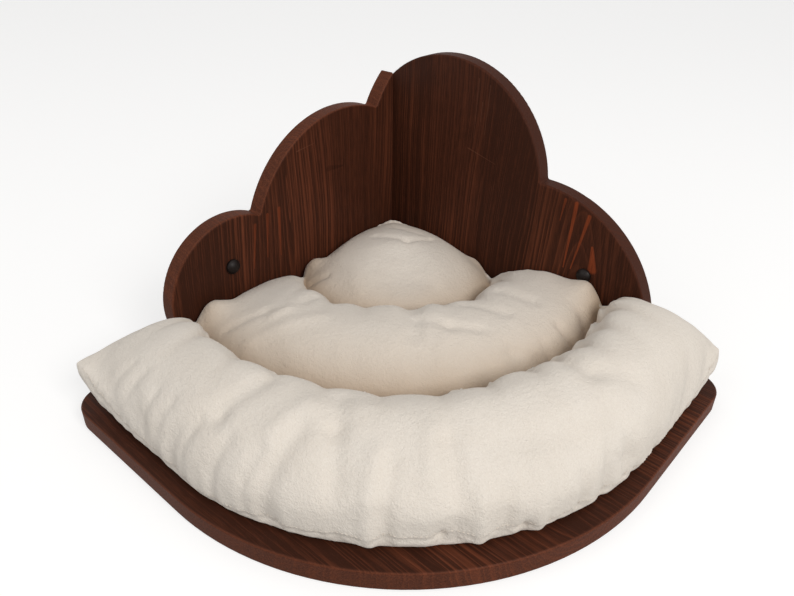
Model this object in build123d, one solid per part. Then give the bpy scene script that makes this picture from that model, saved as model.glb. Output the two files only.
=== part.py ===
from build123d import *
import os
from math import asin, atan2, cos, hypot, radians, sin, sqrt

# A corner cat bed: a rounded shelf, two cloud-shaped side boards against two walls,
# the fixings that hold them, and a loose cushion sewn into three lobes.
# The origin is on the line where the two walls meet, level with the shelf's underside.
# +X runs along the right wall, -Y along the left wall and +Z up.

# Boards
board_thickness = 18.0
edge_round = 1.8
notch_round = 2.5

# Shelf outline, seen from above
shelf_side = 424.0
front_corner_radius = 258.0
tip_radius = 29.0

# Cloud outlines: how far along its wall and how high above the shelf each lobe's centre is
tall_lobe_along = 95.5
tall_lobe_up = 131.0
tall_lobe_radius = 117.5
right_lobe_along = 215.5
right_lobe_up = 15.0
right_lobe_radius = 130.0
middle_lobe_along = 92.5
middle_lobe_up = 70.0
middle_lobe_radius = 126.5
left_lobe_along = 245.5
left_lobe_up = 47.0
left_lobe_radius = 75.0

# Screws that join the boards
joint_screw_length = 45.0
joint_screw_diameter = 4.5
joint_shank_diameter = 3.2
joint_head_diameter = 8.6
joint_head_height = 2.7
joint_point_length = 5.0
joint_head_sink = 0.4
base_screw_start = 60.0
base_screw_end = 20.0
base_screw_count = 3
corner_screw_low = 48.0
corner_screw_pitch = 102.0
corner_screw_count = 2

# Locating dowels between the shelf and the boards
dowel_diameter = 8.0
dowel_length = 30.0
dowel_in_shelf = 12.0
dowel_chamfer = 1.0
dowel_end_room = 0.5

# Wall screws, the cup washers under their heads and the domed caps over them
wall_screw_diameter = 5.0
wall_shank_diameter = 3.6
wall_screw_grip = 34.0
wall_head_diameter = 9.2
wall_head_height = 2.8
wall_point_length = 6.0
washer_diameter = 11.6
washer_height = 3.2
cap_diameter = 15.0
cap_height = 6.2
cap_skirt_height = 2.0
cap_crown_wall = 1.4
left_cap_along = 250.5
left_cap_up = 72.5
right_cap_along = 274.5
right_cap_up = 65.0

# Cross recess in every screw head
recess_span = 4.4
recess_width = 1.0
recess_depth = 1.7

# Cushion
cushion_side = 415.0
cushion_front_radius = 262.0
cushion_height = 80.0
seam_height = 38.0
cushion_wall_room = 3.0
cushion_back_cut = 47.0
cushion_tuck = 9.0
waist_height = 28.0
corner_waist_height = 42.0
tip_lift = 13.0
front_seam_end = 306.0
front_seam_middle = 372.0
back_seam_end = 162.0
back_seam_middle = 249.0

# Clearances
screw_room = 0.1
dowel_room = 0.05
snap_room = 0.1
soft_room = 0.3
overrun = 5.0

# Where the cushion's cross-sections stand, from one wall to the middle, and how full each lobe is. The
# middle lobe is bunched up against the right board.
fan_shares = (1.0, 0.955, 0.88, 0.74, 0.5, 0.25, 0.0)
front_crown_shares = (0.53, 0.68, 0.83, 0.945, 0.995, 1.0, 1.0)
right_middle_crown_shares = (0.62, 0.72, 0.79, 0.85, 0.90, 0.93, 0.95)
left_middle_crown_shares = (0.46, 0.54, 0.62, 0.74, 0.87, 0.92, 0.95)
back_crown_shares = (0.45, 0.47, 0.52, 0.64, 0.80, 0.89, 0.93)
seam_shares = (0.84, 0.86, 0.90, 0.96, 1.0, 1.0, 1.0)
waist_shares = (1.2, 1.15, 1.05, 1.0, 1.0, 1.0, 1.0)
lift_shares = (1.0, 0.5, 0.1, 0.0, 0.0, 0.0, 0.0)

# How a lobe swells from one seam to the next: how far across, and how much of its rise. It is steep where
# it starts, fullest before its middle, and falls off gently.
swell_reach_shares = (0.08, 0.22, 0.42, 0.68, 0.88)
swell_rise_shares = (0.50, 0.85, 1.0, 0.84, 0.53)

# The walls' planes: X along the wall, Y up from the shelf's top
right_wall = Plane(origin=(0, 0, board_thickness), x_dir=(1, 0, 0), z_dir=(0, -1, 0))
left_wall = Plane(origin=(0, 0, board_thickness), x_dir=(0, -1, 0), z_dir=(-1, 0, 0))
into_room_right = 1
into_room_left = -1


# Shelf
def shelf_outline():
    """The shelf from above: square in the room's corner, swelling to one large round front corner."""
    side = shelf_side
    straight_end = side - front_corner_radius
    front_arc = straight_end + front_corner_radius * sin(radians(45))
    tip_arc = tip_radius * (1 - sin(radians(45)))
    edges = [
        Line((0, 0), (side - tip_radius, 0)),
        ThreePointArc((side - tip_radius, 0), (side - tip_arc, -tip_arc), (side, -tip_radius)),
        Line((side, -tip_radius), (side, -straight_end)),
        ThreePointArc((side, -straight_end), (front_arc, -front_arc), (straight_end, -side)),
        Line((straight_end, -side), (tip_radius, -side)),
        ThreePointArc((tip_radius, -side), (tip_arc, tip_arc - side), (0, tip_radius - side)),
        Line((0, tip_radius - side), (0, 0)),
    ]
    return make_face(edges)


def against_wall(edge):
    """True for an edge that touches a wall or stands upright."""
    box = edge.bounding_box()
    flat = box.max.Z - box.min.Z < edge_round
    on_left = box.max.X < edge_round
    on_right = box.min.Y > -edge_round
    return on_left or on_right or not flat


def foot(along, up, radius):
    """How far along its wall a board reaches where its last lobe meets the shelf."""
    return along + sqrt(radius**2 - up**2)


def base_screw_places(board_foot):
    """Screws at even distances, from near the room's corner to just before the board's foot."""
    pitch = (board_foot - base_screw_start - base_screw_end) / (base_screw_count - 1)
    return [base_screw_start + pitch * i for i in range(base_screw_count)]


def between(places):
    """The middle of each space between neighbouring places."""
    return [(near + far) / 2 for near, far in zip(places, places[1:])]


def under_right_board(places):
    """Points on the shelf's plan under the middle of the right board."""
    return [(along, -board_thickness / 2) for along in places]


def under_left_board(places):
    return [(board_thickness / 2, -along) for along in places]


def upright(spot, height, shape):
    return Pos(spot[0], spot[1], height) * shape


# Screws, drawn head down with the point up
def screw(length, diameter, shank_diameter, head_diameter, head_height, shank_length, point_length, room):
    """A countersunk wood screw, or with some room the hole that it fills."""
    r_thread = diameter / 2 + room
    r_shank = shank_diameter / 2 + room
    r_head = head_diameter / 2 + room
    r_tip = shank_diameter / 8 + room
    thread_top = length - point_length
    profile = Polyline(
        (0, 0),
        (r_head, 0),
        (r_shank, head_height + room),
        (r_shank, shank_length),
        (r_thread, shank_length),
        (r_thread, thread_top),
        (r_tip, length + room),
        (0, length + room),
        close=True,
    )
    return revolve(Plane.XZ * make_face(profile), Axis.Z)


def cross_recess():
    arm = Box(recess_span, recess_width, 2 * recess_depth)
    return arm + Rot(0, 0, 90) * arm


def joint_screw(room=0):
    body = screw(
        joint_screw_length,
        joint_screw_diameter,
        joint_shank_diameter,
        joint_head_diameter,
        joint_head_height,
        board_thickness - joint_head_sink,
        joint_point_length,
        room,
    )
    return body if room else body - cross_recess()


def joint_screw_hole():
    """A countersunk hole that lets the thread through, open behind the sunk head."""
    depth = joint_screw_length - joint_point_length
    bore = Pos(0, 0, depth / 2) * Cylinder(joint_screw_diameter / 2 + screw_room, depth)
    mouth_depth = joint_head_sink + overrun
    mouth = Pos(0, 0, -mouth_depth / 2) * Cylinder(joint_head_diameter / 2 + screw_room, mouth_depth)
    return joint_screw(screw_room) + bore + mouth


def dowel():
    peg = Cylinder(dowel_diameter / 2, dowel_length)
    return chamfer(peg.edges().filter_by(GeomType.CIRCLE), dowel_chamfer)


def dowel_hole():
    return Cylinder(dowel_diameter / 2 + dowel_room, dowel_length + dowel_end_room)


def drilled(board, spots, height, hole):
    """The board with the same upright hole at each spot."""
    for spot in spots:
        board -= upright(spot, height, hole)
    return board


# Side boards
def lobe(along, up, radius):
    return Pos(along, up) * Circle(radius)


def panel(start, end, height):
    """A rectangle on the shelf from start to end along the wall."""
    return Pos((start + end) / 2, height / 2) * Rectangle(end - start, height)


def sanded(cloud):
    """Rounds the sharp notches between the lobes of a cloud outline."""
    notches = [v for v in cloud.vertices() if v.X > board_thickness + overrun and v.Y > overrun]
    return fillet(notches, notch_round)


def right_cloud():
    lobes = lobe(tall_lobe_along, tall_lobe_up, tall_lobe_radius)
    lobes += lobe(right_lobe_along, right_lobe_up, right_lobe_radius)
    lobes += panel(0, tall_lobe_along, tall_lobe_up)
    lobes += panel(0, right_lobe_along, right_lobe_up)
    reach = right_lobe_along + right_lobe_radius
    top = tall_lobe_up + tall_lobe_radius
    return sanded(lobes & panel(0, reach + overrun, top + overrun))


def left_cloud():
    """The left outline carries on round the inner corner, so the tall lobe's end shows on it."""
    folded_along = 2 * board_thickness - tall_lobe_along
    lobes = lobe(folded_along, tall_lobe_up, tall_lobe_radius)
    lobes += lobe(middle_lobe_along, middle_lobe_up, middle_lobe_radius)
    lobes += lobe(left_lobe_along, left_lobe_up, left_lobe_radius)
    lobes += panel(board_thickness, middle_lobe_along, middle_lobe_up)
    lobes += panel(board_thickness, left_lobe_along, left_lobe_up)
    reach = left_lobe_along + left_lobe_radius
    top = tall_lobe_up + tall_lobe_radius
    return sanded(lobes & panel(board_thickness, reach + overrun, top + overrun))


def eased(board):
    """Rounds the sawn edges of the cloud outline on both faces."""
    return fillet(board.edges().filter_by(GeomType.CIRCLE), edge_round)


def side_board(cloud, wall, into_room):
    blank = extrude(cloud, amount=board_thickness)
    back = 0 if into_room > 0 else -board_thickness
    return wall * Pos(0, 0, back) * eased(blank)


def wall_facing(wall, into_room, along, up):
    """Places a screw at the front of a board, pointing to the wall."""
    depth = (board_thickness + washer_height) * into_room
    turn = Rot(180, 0, 0) if into_room > 0 else Rot(0, 0, 0)
    return wall * Pos(along, up, depth) * turn


def wall_screw(room=0):
    length = washer_height + board_thickness + wall_screw_grip
    body = screw(
        length,
        wall_screw_diameter,
        wall_shank_diameter,
        wall_head_diameter,
        wall_head_height,
        washer_height + board_thickness,
        wall_point_length,
        room,
    )
    return body if room else body - cross_recess()


def wall_screw_hole():
    """A hole that the whole screw passes through."""
    depth = board_thickness + 2 * overrun
    return Pos(0, 0, washer_height + board_thickness / 2) * Cylinder(
        wall_screw_diameter / 2 + screw_room, depth
    )


def cup_washer():
    """The ring under the screw's head that the cap snaps over."""
    ring = Pos(0, 0, washer_height / 2) * Cylinder(washer_diameter / 2, washer_height)
    ring = ring - wall_screw(screw_room) - wall_screw_hole()
    return chamfer(ring.edges().group_by(Axis.Z)[0].sort_by(SortBy.LENGTH)[-1], washer_height / 8)


def dome(radius, rim, crown):
    """Half of a round dome's profile, from its rim to its crown on the axis."""
    rise = rim - crown
    ball = (radius**2 + rise**2) / (2 * rise)
    half_turn = asin(radius / ball) / 2
    bend = (ball * sin(half_turn), crown + ball * (1 - cos(half_turn)))
    return ThreePointArc((0, crown), bend, (radius, rim))


def screw_cap():
    """A thin domed cap, drawn with its rim on the board's face and its crown towards -Z."""
    r_out = cap_diameter / 2
    r_in = washer_diameter / 2 + snap_room
    rim = washer_height
    shoulder = rim - cap_skirt_height
    crown = rim - cap_height
    inner_crown = crown + cap_crown_wall
    inner_shoulder = -snap_room
    edges = [
        Line((r_out, rim), (r_in, rim)),
        Line((r_in, rim), (r_in, inner_shoulder)),
        dome(r_in, inner_shoulder, inner_crown),
        Line((0, inner_crown), (0, crown)),
        dome(r_out, shoulder, crown),
        Line((r_out, shoulder), (r_out, rim)),
    ]
    return revolve(Plane.XZ * make_face(edges), Axis.Z)


# Cushion
def arc_through(end, middle):
    """Centre and radius of the plan arc that leaves each wall at end and crosses the diagonal at middle."""
    diagonal = middle * sin(radians(45))
    rise = board_thickness
    centre = (end**2 + rise**2 - 2 * diagonal**2) / (2 * (end + rise - 2 * diagonal))
    return centre, (diagonal - centre) * sqrt(2)


def reach_to_arc(start, heading, centre, radius):
    """How far a plan line from start runs until it meets an arc centred on the diagonal."""
    to_centre = (centre - start[0], centre - start[1])
    ahead = to_centre[0] * heading[0] + to_centre[1] * heading[1]
    beside = to_centre[0] * heading[1] - to_centre[1] * heading[0]
    return ahead + sqrt(radius**2 - beside**2)


def cushion_front(angle):
    """The cushion's edge in plan, in the direction of angle from the right wall."""
    centre = cushion_side - cushion_front_radius
    heading = (cos(angle), sin(angle))
    square = cushion_side / max(heading)
    if min(heading) * square <= centre:
        return (heading[0] * square, heading[1] * square)
    reach = reach_to_arc((0, 0), heading, centre, cushion_front_radius)
    return (heading[0] * reach, heading[1] * reach)


def lobe_top(near, far, crown):
    """The top of one lobe in a cross-section, from near to far, each a distance and a height."""
    middle = []
    for reach, rise in zip(swell_reach_shares, swell_rise_shares):
        base = near[1] + (far[1] - near[1]) * reach
        middle.append((near[0] + (far[0] - near[0]) * reach, base + (crown - base) * rise))
    return Spline(near, *middle, far)


def cushion_section(fan, front_crown, middle_crown, back_crown, seam, waist, lift):
    """One upright cross-section from the back corner to the front edge, over three crowns and two seams."""
    edge_angle = radians(45) - atan2(cushion_wall_room, cushion_side)
    front = cushion_front(radians(45) + edge_angle * fan)
    half_cut = cushion_back_cut / 2
    spread = half_cut - cushion_wall_room
    back = (half_cut - spread * fan, half_cut + spread * fan)
    length = hypot(front[0] - back[0], front[1] - back[1])
    heading = ((front[0] - back[0]) / length, (front[1] - back[1]) / length)
    plane = Plane(
        origin=(back[0], -back[1], board_thickness + soft_room),
        x_dir=(heading[0], -heading[1], 0),
        z_dir=(-heading[1], -heading[0], 0),
    )
    back_seam = reach_to_arc(back, heading, *arc_through(back_seam_end, back_seam_middle))
    front_seam = reach_to_arc(back, heading, *arc_through(front_seam_end, front_seam_middle))
    floor = tip_lift * lift
    valley = seam_height * seam
    front_waist = waist_height * waist
    outer = length - cushion_tuck
    bulge = cushion_tuck / 5
    back_dip = (back_seam, valley)
    front_dip = (front_seam, valley)
    corner = (0, corner_waist_height)
    hem = (length, front_waist)
    edges = [
        Line((outer, floor), (cushion_tuck, floor)),
        ThreePointArc((cushion_tuck, floor), (bulge, corner_waist_height / 2), corner),
        lobe_top(corner, back_dip, cushion_height * back_crown),
        lobe_top(back_dip, front_dip, cushion_height * middle_crown),
        lobe_top(front_dip, hem, cushion_height * front_crown),
        ThreePointArc(hem, (length - bulge, (front_waist + floor) / 2), (outer, floor)),
    ]
    return plane * make_face(edges)


def cushion_half(middle_crown_shares, side):
    """The cross-sections from one wall to the middle. Side is 1 at the left wall and -1 at the right one."""
    rows = zip(
        fan_shares,
        front_crown_shares,
        middle_crown_shares,
        back_crown_shares,
        seam_shares,
        waist_shares,
        lift_shares,
    )
    return [cushion_section(fan * side, *row) for fan, *row in rows]


def cushion():
    """The three lobes, pressed flat on the shelf and against the boards."""
    from_left = cushion_half(left_middle_crown_shares, 1)
    from_right = cushion_half(right_middle_crown_shares, -1)
    pillow = loft(from_left + list(reversed(from_right[:-1])))
    room = board_thickness + soft_room
    across = 2 * shelf_side
    right_reach = right_lobe_along + right_lobe_radius + soft_room
    left_reach = left_lobe_along + left_lobe_radius + soft_room
    pillow -= Pos(0, 0, room / 2) * Box(across, across, room)
    pillow -= Pos(right_reach / 2, -room / 2, across / 2) * Box(right_reach, room, across)
    pillow -= Pos(room / 2, -left_reach / 2, across / 2) * Box(room, left_reach, across)
    return pillow


# Pieces in place
right_screw_places = base_screw_places(foot(right_lobe_along, right_lobe_up, right_lobe_radius))
left_screw_places = base_screw_places(foot(left_lobe_along, left_lobe_up, left_lobe_radius))
right_screw_spots = under_right_board(right_screw_places)
left_screw_spots = under_left_board(left_screw_places)
right_dowel_spots = under_right_board(between(right_screw_places))
left_dowel_spots = under_left_board(between(left_screw_places))
dowel_centre = board_thickness - dowel_in_shelf + dowel_length / 2

right_base_screws = [upright(spot, joint_head_sink, joint_screw()) for spot in right_screw_spots]
left_base_screws = [upright(spot, joint_head_sink, joint_screw()) for spot in left_screw_spots]
right_dowels = [upright(spot, dowel_centre, dowel()) for spot in right_dowel_spots]
left_dowels = [upright(spot, dowel_centre, dowel()) for spot in left_dowel_spots]

corner_heights = [corner_screw_low + corner_screw_pitch * i for i in range(corner_screw_count)]
corner_spots = [
    right_wall * Pos(board_thickness / 2, height, joint_head_sink) for height in corner_heights
]
corner_screws = [spot * joint_screw() for spot in corner_spots]

right_fixing = wall_facing(right_wall, into_room_right, right_cap_along, right_cap_up)
left_fixing = wall_facing(left_wall, into_room_left, left_cap_along, left_cap_up)

shelf = extrude(shelf_outline(), amount=board_thickness)
shelf = fillet([edge for edge in shelf.edges() if not against_wall(edge)], edge_round)
shelf = drilled(shelf, right_screw_spots + left_screw_spots, joint_head_sink, joint_screw_hole())
shelf = drilled(shelf, right_dowel_spots + left_dowel_spots, dowel_centre, dowel_hole())

right_board = side_board(right_cloud(), right_wall, into_room_right)
right_board = drilled(right_board, right_screw_spots, joint_head_sink, joint_screw_hole())
right_board = drilled(right_board, right_dowel_spots, dowel_centre, dowel_hole())
right_board -= right_fixing * wall_screw_hole()

left_board = side_board(left_cloud(), left_wall, into_room_left)
left_board = drilled(left_board, left_screw_spots, joint_head_sink, joint_screw_hole())
left_board = drilled(left_board, left_dowel_spots, dowel_centre, dowel_hole())
left_board -= left_fixing * wall_screw_hole()

for spot in corner_spots:
    right_board -= spot * joint_screw_hole()
    left_board -= spot * joint_screw_hole()

pieces = {
    "base_shelf": shelf,
    "right_side_board": right_board,
    "left_side_board": left_board,
    "right_board_screws": Compound(children=right_base_screws),
    "left_board_screws": Compound(children=left_base_screws),
    "corner_screws": Compound(children=corner_screws),
    "right_board_dowels": Compound(children=right_dowels),
    "left_board_dowels": Compound(children=left_dowels),
    "right_wall_screw": right_fixing * wall_screw(),
    "left_wall_screw": left_fixing * wall_screw(),
    "right_cup_washer": right_fixing * cup_washer(),
    "left_cup_washer": left_fixing * cup_washer(),
    "right_screw_cap": right_fixing * screw_cap(),
    "left_screw_cap": left_fixing * screw_cap(),
    "cushion": cushion(),
}

os.makedirs("parts", exist_ok=True)
for name, piece in pieces.items():
    export_step(piece, f"parts/{name}.step")
    print(name, round(piece.volume), "mm3")
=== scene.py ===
# %% [markdown]
# # A corner cat bed
# The real object is a rounded shelf of stained softwood that sits in the corner of a room. Two boards cut
# like clouds stand on it against the walls, and one cushion, sewn into three lobes, lies loose on top.
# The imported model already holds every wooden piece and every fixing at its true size. This lesson gives
# them their finishes, and makes the two things that a solid can't show well: soft cloth and screw threads.

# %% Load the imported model
import math

import bmesh
import bpy
import numpy as np
from mathutils import Matrix, Vector


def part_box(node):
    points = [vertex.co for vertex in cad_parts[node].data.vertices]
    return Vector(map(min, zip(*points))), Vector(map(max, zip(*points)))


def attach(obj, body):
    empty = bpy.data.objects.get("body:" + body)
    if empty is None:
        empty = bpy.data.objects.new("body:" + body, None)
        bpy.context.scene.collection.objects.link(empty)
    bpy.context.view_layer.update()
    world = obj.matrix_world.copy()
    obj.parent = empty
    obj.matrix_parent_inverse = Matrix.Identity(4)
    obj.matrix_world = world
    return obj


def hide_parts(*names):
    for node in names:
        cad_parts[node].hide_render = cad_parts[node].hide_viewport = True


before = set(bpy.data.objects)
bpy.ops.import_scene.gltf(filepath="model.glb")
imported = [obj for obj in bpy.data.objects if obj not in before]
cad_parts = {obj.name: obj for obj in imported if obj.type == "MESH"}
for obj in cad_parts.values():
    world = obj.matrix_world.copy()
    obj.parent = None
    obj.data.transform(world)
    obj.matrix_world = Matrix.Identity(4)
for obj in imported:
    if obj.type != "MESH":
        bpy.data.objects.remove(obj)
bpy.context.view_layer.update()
print("pieces in the model:", sorted(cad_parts))

# %% [markdown]
# ## The camera
# The photographer stood in front of the corner and looked down at the shelf. Place, direction and lens come
# from matching the outlines of the boards, so the camera needs no shift and no blur. A camera in Blender
# looks along its own -Z, so its rotation is built from the directions to its right, its top and its back.

# %% Camera
def new_object(name, data):
    """Makes an object for a mesh, a lamp or a camera, and puts it into the scene."""
    made = bpy.data.objects.new(name, data)
    bpy.context.scene.collection.objects.link(made)
    return made


def aim(holder, place, forward, top):
    """Puts a camera or lamp at a place, looking forward, with its upper side towards top."""
    back = -Vector(forward).normalized()
    right = Vector(top).cross(back).normalized()
    turn = Matrix((right, back.cross(right), back)).transposed()
    holder.matrix_world = Matrix.Translation(place) @ turn.to_4x4()


camera_lens = bpy.data.cameras.new("camera")
camera_lens.sensor_width = 36
camera_lens.lens = 31.095
camera = new_object("camera", camera_lens)
camera_place = (0.52723, -0.58753, 0.41300)
camera_forward = (-0.56360, 0.64420, -0.51707)
camera_top = (-0.35254, 0.37850, 0.85583)
aim(camera, camera_place, camera_forward, camera_top)
bpy.context.scene.camera = camera
bpy.context.scene.view_settings.view_transform = "Standard"
print("camera at", [round(x, 3) for x in camera.location])

# %% [markdown]
# ## Helpers for finishes
# A finish is a small network of nodes. A few helpers keep the cells short: one adds a node and connects what
# it is given, and others add one step of arithmetic. What more than one finish needs, such as the figure of
# wood or the fine speckle of a surface, is a node group with named sockets, made once.

# %% Node helpers
def feed(tree, node, inputs):
    """Gives a node's inputs their values. Each is a number, a colour or another node's output."""
    for key, value in inputs.items():
        if isinstance(value, bpy.types.NodeSocket):
            tree.links.new(value, node.inputs[key])
        else:
            node.inputs[key].default_value = value


def add(tree, kind, inputs=None, **settings):
    """Adds a node with its settings and inputs."""
    made = tree.nodes.new(kind)
    for name, value in settings.items():
        setattr(made, name, value)
    feed(tree, made, inputs or {})
    return made


def calc(tree, operation, first, second=0.0, clamp=False):
    """One step of arithmetic between two numbers or outputs."""
    return add(tree, "ShaderNodeMath", {0: first, 1: second}, operation=operation, use_clamp=clamp).outputs[0]


def plus(tree, first, second, clamp=False):
    return calc(tree, "ADD", first, second, clamp)


def times(tree, first, second, clamp=False):
    return calc(tree, "MULTIPLY", first, second, clamp)


def swing(tree, tone, amount):
    """A tone from 0 to 1 as a step up or down, of half the amount at most."""
    return times(tree, calc(tree, "SUBTRACT", tone, 0.5), amount)


def blend_colours(tree, share, first, second):
    """A colour between two, by a share from 0 to 1. A colour mix has its colours on sockets 6 and 7."""
    return add(tree, "ShaderNodeMix", {0: share, 6: first, 7: second}, data_type="RGBA").outputs[2]


def new_effect(name, inputs, outputs):
    """An empty node group with named sockets, and its two end nodes."""
    group = bpy.data.node_groups.new(name, "ShaderNodeTree")
    for label, value in inputs.items():
        kind = "NodeSocketVector" if hasattr(value, "__len__") else "NodeSocketFloat"
        group.interface.new_socket(label, in_out="INPUT", socket_type=kind).default_value = value
    for label in outputs:
        group.interface.new_socket(label, in_out="OUTPUT", socket_type="NodeSocketFloat")
    return group, group.nodes.new("NodeGroupInput"), group.nodes.new("NodeGroupOutput")


def use_effect(tree, group, inputs):
    """Places a node group in a material with its own values."""
    return add(tree, "ShaderNodeGroup", inputs, node_tree=group).outputs


def new_finish(name, inputs):
    """A material with its node tree and its Principled shader, which gets plain values for its inputs."""
    material = bpy.data.materials.new(name)
    material.use_nodes = True
    shader = material.node_tree.nodes["Principled BSDF"]
    feed(material.node_tree, shader, inputs)
    return material, material.node_tree, shader


def seen_or_mirrored(tree):
    """1 for rays that come from the camera or from a shiny surface, and 0 for all others."""
    path = add(tree, "ShaderNodeLightPath").outputs
    return calc(tree, "MAXIMUM", path["Is Camera Ray"], path["Is Glossy Ray"])


print("helpers ready")

# %% [markdown]
# ## The studio
# The photo was taken in soft daylight: bright from the right and above, weaker from the left, with no hard
# shadow. Large lamps give soft shadows, because each point of the bed sees only part of them blocked. The
# floor and the world are nearly white for the camera and keep a plain level for everything else.

# %% Floor
studio_reach = 12.0
floor_drop = 0.0003
floor_mesh = bpy.data.meshes.new("floor")
corners = [(-studio_reach, -studio_reach, 0), (studio_reach, -studio_reach, 0)]
corners += [(studio_reach, studio_reach, 0), (-studio_reach, studio_reach, 0)]
floor_mesh.from_pydata(corners, [], [(0, 1, 2, 3)])
floor = new_object("floor", floor_mesh)
floor.location.z = -floor_drop

floor_glow = 0.60
floor_paint, tree, shader = new_finish("floor_paint", {
    "Base Color": (0.5, 0.5, 0.5, 1), "Roughness": 0.9, "Specular IOR Level": 0.1,
    "Emission Color": (1, 1, 1, 1)})
feed(tree, shader, {"Emission Strength": times(tree, seen_or_mirrored(tree), floor_glow)})
floor_mesh.materials.append(floor_paint)
print("floor side:", 2 * studio_reach, "m")


# %% Lamps
def soft_lamp(name, place, towards, side, power, colour):
    """A square lamp that shines from its place towards a point."""
    light = bpy.data.lights.new(name, "AREA")
    light.shape = "SQUARE"
    light.size = side
    light.energy = power
    light.color = colour
    lamp = new_object(name, light)
    aim(lamp, place, Vector(towards) - Vector(place), (0, 0, 1))
    return lamp


bed_middle = (0.2, -0.2, 0.08)
soft_lamp("window_light", (1.95, -0.6, 1.45), bed_middle, side=0.9, power=27, colour=(1.0, 0.975, 0.94))
soft_lamp("room_light", (-0.5, -1.9, 1.6), bed_middle, side=1.6, power=9, colour=(1.0, 0.99, 0.98))

# %% World
world = bpy.data.worlds.new("daylight")
bpy.context.scene.world = world
world.use_nodes = True
sky = world.node_tree
ambient = sky.nodes["Background"]
feed(sky, ambient, {"Color": (1.0, 0.985, 0.965, 1), "Strength": 0.45})
backdrop = add(sky, "ShaderNodeBackground", {"Color": (0.94, 0.945, 0.945, 1), "Strength": 1.0})
choose = add(sky, "ShaderNodeMixShader", {
    0: seen_or_mirrored(sky), 1: ambient.outputs[0], 2: backdrop.outputs[0]})
feed(sky, sky.nodes["World Output"], {"Surface": choose.outputs[0]})
print("world strength:", ambient.inputs["Strength"].default_value)

# %% [markdown]
# ## The figure of wood
# A tree grows in rings round its pith. A board is a flat cut through those rings: far from the pith the cut
# shows close upright lines, and over the pith it shows pointed flames. The group below does the same in
# numbers. It measures how far each point is from a slanted pith line, divides that by the ring width, and
# turns the result into fine lines, so face, edge and end all show parts of one pattern. Glued panels are
# made of staves, so the pith jumps a little from one stave to the next.

# %% Wood figure group
figure, figure_in, figure_out = new_effect(
    "wood_figure",
    {"Vector": (0, 0, 0), "Flame Across": 0.0, "Flame Along": 0.0, "Ring Width": 0.003,
     "Stave Width": 0.05, "Slope": 0.16, "Seed": 0.0},
    ["Rings", "Streaks", "Fibres", "Stave"],
)
# How far the pith wanders, and how far it jumps across and through from one stave to the next, in metres
pith_wander, stave_jump, stave_depth = 0.034, 0.016, 0.008
seed_step = 7.31
# How many spots a metre holds across, through and along: of the pith's wandering, of streaks and of fibres
wander_scales, streak_scales, fibre_scales = (9.0, 9.0, 3.2), (150.0, 150.0, 5.0), (1500.0, 1500.0, 60.0)
# How uneven the rings are, how sharply a late line starts, and how sharply it ends
ring_unevenness, late_start, late_stop = 2.4, 2.6, 9.0
given = figure_in.outputs
across, through, along = add(figure, "ShaderNodeSeparateXYZ", {0: given["Vector"]}).outputs


def stretched_noise(tree, place, scales, detail, roughness=0.5):
    """Noise whose spots are stretched: the higher a scale, the shorter they are along that axis."""
    stretched = add(tree, "ShaderNodeVectorMath", {0: place, 1: scales}, operation="MULTIPLY")
    return add(tree, "ShaderNodeTexNoise", {"Vector": stretched.outputs[0], "Scale": 1.0, "Detail": detail,
                                            "Roughness": roughness}).outputs["Fac"]


stave_at = calc(figure, "DIVIDE", across, given["Stave Width"])
stave_number = calc(figure, "FLOOR", plus(figure, stave_at, given["Seed"]))
stave_pick = plus(figure, times(figure, given["Seed"], seed_step), stave_number)
stave_dice = add(figure, "ShaderNodeTexWhiteNoise", {"W": stave_pick}, noise_dimensions="1D")
dice = add(figure, "ShaderNodeSeparateColor", {0: stave_dice.outputs["Color"]}).outputs

wander = stretched_noise(figure, given["Vector"], wander_scales, 2.0, 0.45)
drift = swing(figure, wander, pith_wander)
jump = swing(figure, dice[0], stave_jump)
from_pith = calc(figure, "SUBTRACT", across, given["Flame Across"])
from_pith = plus(figure, plus(figure, from_pith, drift), jump)
rise = calc(figure, "SUBTRACT", along, given["Flame Along"])
depth = plus(figure, times(figure, rise, given["Slope"]), times(figure, dice[1], stave_depth))
behind = calc(figure, "SUBTRACT", through, depth)
squares = plus(figure, times(figure, from_pith, from_pith), times(figure, behind, behind))
growth = calc(figure, "DIVIDE", calc(figure, "SQRT", squares), given["Ring Width"])
uneven = add(figure, "ShaderNodeTexNoise", {"W": growth, "Scale": 0.55, "Detail": 1.0}, noise_dimensions="1D")
growth = plus(figure, growth, times(figure, uneven.outputs["Fac"], ring_unevenness))
season = calc(figure, "FRACT", growth)
late = calc(figure, "POWER", season, late_start)
late_end = times(figure, calc(figure, "SUBTRACT", 1.0, season), late_stop, clamp=True)
feed(figure, figure_out, {
    "Rings": times(figure, late, late_end, clamp=True),
    "Streaks": stretched_noise(figure, given["Vector"], streak_scales, 3.0, 0.6),
    "Fibres": stretched_noise(figure, given["Vector"], fibre_scales, 2.0),
    "Stave": dice[2]})
print("wood figure nodes:", len(figure.nodes))

# %% [markdown]
# ## Rims and rubbed edges
# The sawn rim of a board takes stain in another way than its face: the cut fibres show lighter and redder.
# The small rounding between face and rim is sanded, so the stain is thinnest there, and its lighter colour
# there is also a painted highlight. Both can be told from the direction of the surface alone: along the
# board's thickness on the face, at right angles to it on the rim, and in between on the rounding.

# %% Rim group
def between(tree, value, start, end, low=0.0, high=1.0):
    """A value's way from start to end, as a share from low to high."""
    return add(tree, "ShaderNodeMapRange", {0: value, 1: start, 2: end, 3: low, 4: high}).outputs[0]


rim_effect, rim_in, rim_out = new_effect("sawn_rim", {"Facing": 1.0}, ["Rim", "Edge"])
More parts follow.
